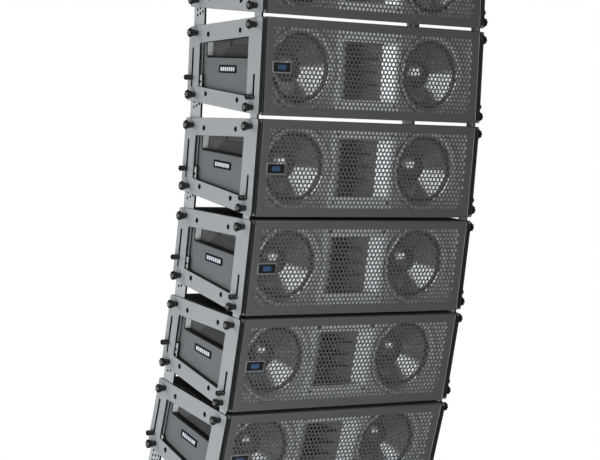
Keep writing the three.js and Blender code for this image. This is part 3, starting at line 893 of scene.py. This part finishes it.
def badge_mesh():
    """A plain badge: a dark plate with a silver border and a muted blue bar in the middle."""
    x0, x1, z0, z1 = -320 * MM, -264 * MM, -15 * MM, 13 * MM
    rim, plate, bar = 1.6 * MM, 2.1 * MM, 2.5 * MM
    inset = 2.2 * MM
    shapes = [
        tile(x0, x1, z0, z1, -rim, -0.1 * MM, 2 * MM, 0.3 * MM, 1),
        tile(x0 + inset, x1 - inset, z0 + inset, z1 - inset, -plate, -rim - 0.05 * MM,
             1.5 * MM, 0.2 * MM, 0),
        tile(x0 + 16 * MM, x1 - 16 * MM, z0 + 8 * MM, z1 - 8 * MM, -bar, -plate - 0.05 * MM,
             1 * MM, 0.1 * MM, 2),
    ]
    return finished("front_badge", joined(*shapes), [BADGE_DARK, BADGE_SILVER, BADGE_BLUE])


def nameplate_mesh():
    """A nameplate on the enclosure's side: a dark plate with a row of plain light blocks."""
    y0, y1, z0, z1 = 128 * MM, 208 * MM, -21 * MM, -1 * MM
    outline = rounded(rectangle(y0, y1, z0, z1), 2 * MM)
    plate = bevelled(prism(outline, SIDE + 0.1 * MM, SIDE + 1.6 * MM), 0.3 * MM, 1)
    shapes = [painted(plate, 0)]
    pitch, width = 9.5 * MM, 6.5 * MM
    blocks = 7
    start = (y0 + y1 - pitch * (blocks - 1) - width) / 2
    for i in range(blocks):
        low = start + i * pitch
        mark = prism(rectangle(low, low + width, z0 + 5 * MM, z1 - 5 * MM),
                     SIDE + 1.65 * MM, SIDE + 2.1 * MM)
        shapes.append(painted(mark, 1))
    return finished("nameplate", joined(*shapes), [BADGE_DARK, PLATE_WHITE])


# ---------------------------------------------------------------- drivers


def roll(r0, r1, depth, height, steps):
    """A half roll between two radii that stands out towards the front."""
    centre, half = (r0 + r1) / 2, (r1 - r0) / 2
    angles = [math.pi * i / steps for i in range(steps + 1)]
    return [(centre - half * math.cos(t), depth - height * math.sin(t)) for t in angles]


def behind_ring(points):
    """A driver's profile: radii and depths behind its ring's face, both in millimetres."""
    return [(radius * MM, FACE_PLANE + depth * MM) for radius, depth in points]


def ring_paint(normal, centre):
    """The driver ring's face and the chamfer inside it are painted like the baffle."""
    radius = math.hypot(centre.x, centre.z)
    in_front = centre.y < FACE_PLANE + 12.6 * MM and normal.y < -0.2
    return 1 if in_front and 93 * MM < radius < 107.2 * MM else 0


def basket_mesh():
    """The ring, the chamfer down to the surround, and the basket and magnet behind them."""
    profile = [
        (98.5, 0), (107, 0), (107.4, 0.4), (107.4, 2.6), (110.1, 2.7), (110.1, 3.2), (98.9, 3.25),
        (98.9, 24), (72, 62), (70, 66), (70, 99), (69, 100), (10, 100), (10, 66), (60, 62), (88, 24),
        (88, 17.5), (93.5, 17), (94, 12.6),
    ]
    shape = painted_by(lathe(behind_ring(profile), DRIVER_SEGMENTS), ring_paint)
    return finished("basket", shape, [BASKET, BAFFLE_PAINT], 30)


def surround_paint(_normal, centre):
    """The bead next to the ring is glossy."""
    return 1 if math.hypot(centre.x, centre.z) > 87.5 * MM else 0


def surround_mesh():
    """A thin bead next to the ring, and the soft roll that holds the cone."""
    bead = roll(87.4, 92.8, 12.6, 4, 10)
    soft = roll(78.4, 87, 14.2, 2.6, 8)
    front = [(78, 15.4), *soft, *bead, (93.8, 12.8)]
    back = [(93.8, 14), (87.2, 14.6), (83, 13.2), (78, 16.6)]
    shape = lathe(behind_ring([*front, *back]), DRIVER_SEGMENTS)
    return finished("surround", painted_by(shape, surround_paint), [SURROUND, BEAD])


def cone_mesh():
    """The cone, from the surround down to the dust cap."""
    front = [(78.3, 15.6), (76, 17), (54, 33.6), (31, 50.8), (27, 53.5)]
    back = [(27, 55.5), (31, 52.8), (54, 35.6), (76, 19), (78.3, 17.6)]
    return finished("cone", lathe(behind_ring([*front, *back]), DRIVER_SEGMENTS), [CONE], 40)


def dust_cap_mesh():
    """A part of a sphere over the middle of the cone."""
    steps = 12
    radius, rise, base = 31, 13, 50.4
    ball = (radius ** 2 + rise ** 2) / (2 * rise)
    widest = math.asin(radius / ball)
    dome = [(ball * math.sin(t), base - rise + ball * (1 - math.cos(t)))
            for t in [widest * (1 - i / steps) for i in range(steps)]]
    profile = [(0, base + 1.5), (radius, base + 1.5), *dome, (0, base - rise)]
    return finished("dust_cap", lathe(behind_ring(profile), 72), [CAP_GLOSS], 40)


# ---------------------------------------------------------------- horn


def horn_section(share):
    """Half width of the horn's inside at a share of its depth, 0 at the mouth."""
    flare = max(0.0, 1 - share) ** FLARE_POWER
    return HORN_THROAT / 2 + (HORN_MOUTH[0] - HORN_THROAT) / 2 * flare


def horn_depths(first, last, steps):
    """Depths behind the ring plane, as distances from the grille's face."""
    return [FACE_PLANE + first + (last - first) * i / steps for i in range(steps + 1)]


def horn_inside(depths):
    """The inside of the horn's right wall, seen from above."""
    return [(horn_section((y - FACE_PLANE) / HORN_DEPTH), y) for y in depths]


def flange_outline():
    """A square whose two sides are hollowed round the driver rings."""
    half = HORN_FLANGE / 2
    reach = math.sqrt(HORN_NOTCH ** 2 - (WOOFER_X - half) ** 2)
    notch = []
    steps = 24
    for i in range(steps + 1):
        z = reach * (2 * i / steps - 1)
        notch.append((WOOFER_X - math.sqrt(HORN_NOTCH ** 2 - z * z), z))
    right_side = [(half, -half), *notch, (half, half)]
    return right_side + [(-x, z) for x, z in reversed(right_side)]


def horn_paint(_normal, centre):
    """The flange and the front of the flare are light; the manifold behind them is painted dark as
    shade.
    """
    return 0 if centre.y < FACE_PLANE + FLARE_DEPTH else 1


def horn_mesh():
    """The flange and the two flared side walls, closed above, below and at the throat."""
    half_w, half_h = HORN_MOUTH[0] / 2, HORN_MOUTH[1] / 2
    mouth = rectangle(-half_w, half_w, -half_h, half_h)
    flange = prism(flange_outline(), FACE_PLANE, FACE_PLANE + FLANGE_THICKNESS, "Y", [mouth])
    flare = horn_depths(FLANGE_THICKNESS + 0.05 * MM, FLARE_DEPTH, HORN_STEPS)
    inner = horn_inside(flare + horn_depths(FLARE_DEPTH, HORN_DEPTH, HORN_STEPS)[1:])
    walls = []
    for sign in (-1, 1):
        points = [(sign * x, y) for x, y in inner]
        points += [(sign * (x + HORN_WALL), y) for x, y in reversed(inner)]
        walls.append(prism(points, -half_h - HORN_WALL, half_h + HORN_WALL, "Z"))
    # The lids and the throat's end are painted dark as shade.
    lids = []
    for z0, z1 in ((-half_h - HORN_WALL, -half_h), (half_h, half_h + HORN_WALL)):
        points = [(x, y) for x, y in inner] + [(-x, y) for x, y in reversed(inner)]
        lids.append(painted(prism(points, z0, z1, "Z"), 1))
    back = FACE_PLANE + HORN_DEPTH
    half_end = HORN_THROAT / 2 + HORN_WALL
    end = block((-half_end, back + 0.1 * MM, -half_h - HORN_WALL),
                (half_end, back + HORN_WALL, half_h + HORN_WALL))
    light_parts = [painted_by(shape, horn_paint) for shape in (flange, *walls)]
    shape = joined(*light_parts, *lids, painted(end, 1))
    return finished("horn", shape, [HORN_PLASTIC, HORN_PAINTED_SHADE], 30)


def vanes_mesh():
    """The level vanes that split the horn's manifold into cells, painted near-black, which also stands
    in for the shade under each vane.
    """
    depths = horn_depths(VANE_DEPTH, HORN_DEPTH - 2 * MM, HORN_STEPS)
    half = [(x - 0.1 * MM, y) for x, y in horn_inside(depths)]
    outline = half + [(-x, y) for x, y in reversed(half)]
    shapes = []
    for i in range(1, HORN_CELLS):
        z = (i - HORN_CELLS / 2) * VANE_PITCH
        vane = prism(outline, z - VANE_THICKNESS / 2, z + VANE_THICKNESS / 2, "Z")
        shapes.append(bevelled(vane, 1 * MM, 2))
    return finished("horn_vanes", joined(*shapes), [VANE_BLACK_AND_SHADE], 30)


def horn_screws_mesh():
    """A dark screw in each corner of the horn's flange."""
    head = [(0, 0), (4.6, 0), (4.6, -1.4), (3.6, -2.2), (1.8, -2.4), (0, -1.2)]
    shapes = []
    for x in (-HORN_SCREW, HORN_SCREW):
        for z in (-HORN_SCREW, HORN_SCREW):
            shapes.append(lathe(behind_ring(head), 18, "Y", (x, 0, z)))
    return finished("horn_screws", joined(*shapes), [BASKET], 35)


# ---------------------------------------------------------------- amplifier

# Sockets on the amplifier's panel: place across, height and radius, in millimetres.
SOCKETS = ((60, -28, 15), (110, -28, 15), (60, 28, 12), (110, 28, 12), (165, -28, 9))


def amplifier_mesh():
    """The rear plate and the cooling fins that cover its left half."""
    x0, x1, z0, z1 = amp_low.x, amp_high.x, amp_low.z, amp_high.z
    face = DEPTH + 0.3 * MM
    outline = rounded(rectangle(x0, x1, z0, z1), 5 * MM)
    shapes = [bevelled(prism(outline, face, face + AMP_PLATE, "Y"), 0.8 * MM, 2)]
    base = face + AMP_PLATE + 0.1 * MM
    width = (x1 - x0 - 2 * AMP_MARGIN) / 2
    half = FIN_THICKNESS / 2
    for i in range(FINS):
        x = x0 + AMP_MARGIN + (i + 0.5) * width / FINS
        fin = block((x - half, base, z0 + AMP_MARGIN), (x + half, amp_high.y, z1 - AMP_MARGIN))
        shapes.append(bevelled(fin, 0.8 * MM, 1))
    return finished("amplifier_panel", joined(*shapes), [AMP_BLACK], 35)


def on_panel(points):
    """Radii and heights above the amplifier's plate, both in millimetres."""
    face = DEPTH + 0.4 * MM + AMP_PLATE
    return [(radius * MM, face + height * MM) for radius, height in points]


def connectors_mesh():
    """Round sockets in the free half of the plate: two large, two middle and one small."""
    shapes = []
    for x, z, radius in SOCKETS:
        ring = [
            (radius * 0.72, 0), (radius * 0.72, 7), (radius * 0.8, 8.5),
            (radius * 0.95, 8.5), (radius, 7.5), (radius, 0),
        ]
        core = [(0, 0), (radius * 0.7, 0), (radius * 0.7, 2.2), (0, 2.2)]
        centre = (x * MM, 0, z * MM)
        shapes.append(painted(lathe(on_panel(ring), 32, "Y", centre), 1))
        shapes.append(painted(lathe(on_panel(core), 24, "Y", centre), 0))
    return finished("amplifier_sockets", joined(*shapes), [RUBBER, STEEL], 35)


def screws_mesh():
    """Screws along the top and bottom edges of the amplifier's plate."""
    head = [(0, 0), (4, 0), (4, 1.2), (3, 2.2), (1.6, 2.4), (0, 1.4)]
    edge = AMP_MARGIN / 2
    columns = 5
    shapes = []
    for i in range(columns):
        x = amp_low.x + edge + (amp_high.x - amp_low.x - 2 * edge) * i / (columns - 1)
        for z in (amp_low.z + edge, amp_high.z - edge):
            shapes.append(lathe(on_panel(head), 18, "Y", (x, 0, z)))
    return finished("panel_screws", joined(*shapes), [STEEL], 35)


# ---------------------------------------------------------------- assembly

COLLECTION = bpy.context.scene.collection


def place(name, mesh, pose, body, slot_name, *nodes):
    """Puts a piece in the row frame, on its body, and hides the CAD nodes it stands for; the slot name
    is not used.
    """
    piece = bpy.data.objects.new(name, mesh)
    COLLECTION.objects.link(piece)
    piece.matrix_world = pose
    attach(piece, body)
    if nodes:
        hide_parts(*nodes)
    return piece


# Each piece has its mesh, its slot and, where it stands for one, the CAD node. The names here get
# the cabinet's name before them and the side after them.
middle = {
    "shell": (shell_mesh(), "enclosure", "enclosure"),
    "baffle": (baffle_mesh(), "enclosure"),
    "grille_sheet": (grille_mesh(), "grille", "grille"),
    "grille_rim": (grille_rim_mesh(), "grille"),
    "badge": (badge_mesh(), "grille"),
    "horn_bell": (horn_mesh(), "horn", "horn"),
    "horn_vanes": (vanes_mesh(), "horn"),
    "horn_screws": (horn_screws_mesh(), "horn"),
    "amplifier_panel": (amplifier_mesh(), "amplifier", "amplifier"),
    "amplifier_sockets": (connectors_mesh(), "amplifier"),
    "panel_screws": (screws_mesh(), "amplifier"),
}
driver = {
    "basket": (basket_mesh(), "woofer", "woofer"),
    "surround": (surround_mesh(), "woofer"),
    "cone": (cone_mesh(), "woofer"),
    "dust_cap": (dust_cap_mesh(), "woofer"),
}
right_side = {
    "rig_frame": (frame_mesh(), "frame", "frame"),
    "front_link": (front_link_mesh(), "link"),
    "pins": (pins_mesh(), "frame"),
    "front_knob": (knob_mesh(FRONT_PIN_Y, FRONT_KNOB_Z), "frame"),
    "handle_cup": (pocket_cup_mesh(), "enclosure"),
    "nameplate": (nameplate_mesh(), "enclosure"),
}
right_link = {
    "link_plate": (rear_link_mesh(), "link", "rear_link"),
    "link_knob": (knob_mesh(REAR_SLOT_Y, KNOB_RISE), "link"),
}


def mirrored_set(pieces):
    """The same pieces for the other side of the cabinet."""
    return {kind: (mirrored(mesh), *rest) for kind, (mesh, *rest) in pieces.items()}


left_side = mirrored_set(right_side)
left_link = mirrored_set(right_link)


def place_set(cabinet, pieces, pose, body, side=""):
    """Places a set of pieces of one cabinet, all on the same body."""
    return [
        place(f"{cabinet}_{kind}{side}", mesh, pose, body, slot_name,
              *[f"{cabinet}_{node}{side}" for node in nodes])
        for kind, (mesh, slot_name, *nodes) in pieces.items()
    ]


def dress_cabinet(number):
    """Every piece of one cabinet, and the pair of links that slides in its frames."""
    pose = POSES[number]
    cabinet = f"cabinet_{number}"
    for piece in place_set(cabinet, middle, pose, cabinet):
        if "_grille_" in piece.name:
            piece.visible_shadow = False
    sides = (("_left", -1, left_side, left_link), ("_right", 1, right_side, right_link))
    for side, sign, rigging, link in sides:
        axis = Matrix.Translation((sign * WOOFER_X, 0, 0))
        place_set(cabinet, driver, pose @ axis, cabinet, side)
        place_set(cabinet, rigging, pose, cabinet, side)
        low, _ = local_box(f"{cabinet}_rear_link{side}", number)
        rise = Matrix.Translation((0, 0, low.z + REAR_LINK_WIDTH / 2))
        place_set(cabinet, link, pose @ rise, f"rear_links_{number}", side)


for number in POSES:
    dress_cabinet(number)

# ---------------------------------------------------------------- stage, camera and lights

# How bright the surroundings are on the object, and in its reflections below and above it.
SKY_LIGHT = 0.2
MIRROR_BELOW = 0.03
MIRROR_ABOVE = 0.2
FLOOR_HALF = 6
FLOOR_DROP = 1.0
# The eye's place from the middle of the top grille's face, and its turn from straight ahead.
EYE_OFFSET = (-3.2537, -4.2583, -0.6564)
EYE_TURN = math.radians(35.22)
LENS = 125.8


def floor():
    """A pale floor below the hanging column."""
    shape = bmesh.new()
    bmesh.ops.create_grid(shape, x_segments=1, y_segments=1, size=FLOOR_HALF)
    pale = material("pale_floor", grey(0.8), 0.9, grain=0.02, grain_size=20 * MM)
    stage = bpy.data.objects.new("floor", finished("floor", shape, [pale]))
    COLLECTION.objects.link(stage)
    stage.location.z = cad_low.z - FLOOR_DROP


def camera():
    """The photograph's view: a level camera left of the column and below its top cabinet."""
    data = bpy.data.cameras.new("camera")
    data.sensor_width = 36
    data.lens = LENS
    data.clip_end = 100
    eye = bpy.data.objects.new("camera", data)
    COLLECTION.objects.link(eye)
    eye.location = POSES[1].translation + Vector(EYE_OFFSET)
    eye.rotation_euler = (math.pi / 2, 0, -EYE_TURN)
    bpy.context.scene.camera = eye


def area_light(name, direction, distance, size, power):
    """A soft rectangular light that looks at the column's middle from a direction."""
    data = bpy.data.lights.new(name, "AREA")
    data.shape = "RECTANGLE"
    data.size, data.size_y = size
    data.energy = power
    lamp = bpy.data.objects.new(name, data)
    COLLECTION.objects.link(lamp)
    aim = (cad_low + cad_high) / 2
    lamp.location = aim + Vector(direction).normalized() * distance
    lamp.rotation_euler = (aim - lamp.location).to_track_quat("-Z", "Y").to_euler()
    lamp.visible_camera = False
    return lamp


def lights():
    """Three lights that only light the surfaces, and a softbox that is only seen mirrored in them."""
    for lamp in (
        area_light("left_rear_key", (-0.86, 0.5, 0.25), 4.5, (2.5, 3.0), 64),
        area_light("left_front_fill", (-0.9, -0.42, -0.35), 3.2, (1.2, 2.2), 54),
        area_light("low_front_fill", (-0.3, -0.65, -0.75), 2.6, (1.8, 1.8), 32),
    ):
        lamp.visible_glossy = False
    softbox = area_light("mirrored_softbox", (-0.3, -0.79, 0.42), 4.2, (5.0, 5.2), 370)
    softbox.visible_diffuse = False


def world():
    """White behind the object, a dim even light on it, and dimmer still in its reflections."""
    sky = bpy.data.worlds.new("studio")
    bpy.context.scene.world = sky
    sky.use_nodes = True
    nodes, links = sky.node_tree.nodes, sky.node_tree.links
    nodes.clear()
    rays = nodes.new("ShaderNodeLightPath")
    coords = nodes.new("ShaderNodeTexCoord")
    split = nodes.new("ShaderNodeSeparateXYZ")
    links.new(coords.outputs["Generated"], split.inputs[0])
    rise = nodes.new("ShaderNodeMapRange")
    rise.inputs["From Min"].default_value = -0.5
    rise.inputs["From Max"].default_value = 0.6
    rise.inputs["To Min"].default_value = MIRROR_BELOW
    rise.inputs["To Max"].default_value = MIRROR_ABOVE
    links.new(split.outputs["Z"], rise.inputs["Value"])
    seen, lit, mirrored_sky = [nodes.new("ShaderNodeBackground") for _ in range(3)]
    seen.inputs["Strength"].default_value = 1.0
    lit.inputs["Strength"].default_value = SKY_LIGHT
    links.new(rise.outputs[0], mirrored_sky.inputs["Strength"])
    for background in (seen, lit, mirrored_sky):
        background.inputs["Color"].default_value = (1, 1, 1, 1)
    gloss = nodes.new("ShaderNodeMixShader")
    links.new(rays.outputs["Is Glossy Ray"], gloss.inputs["Fac"])
    links.new(lit.outputs[0], gloss.inputs[1])
    links.new(mirrored_sky.outputs[0], gloss.inputs[2])
    mix = nodes.new("ShaderNodeMixShader")
    links.new(rays.outputs["Is Camera Ray"], mix.inputs["Fac"])
    links.new(gloss.outputs[0], mix.inputs[1])
    links.new(seen.outputs[0], mix.inputs[2])
    out = nodes.new("ShaderNodeOutputWorld")
    links.new(mix.outputs[0], out.inputs["Surface"])


floor()
camera()
world()
lights()
bpy.context.scene.view_settings.view_transform = "Standard"
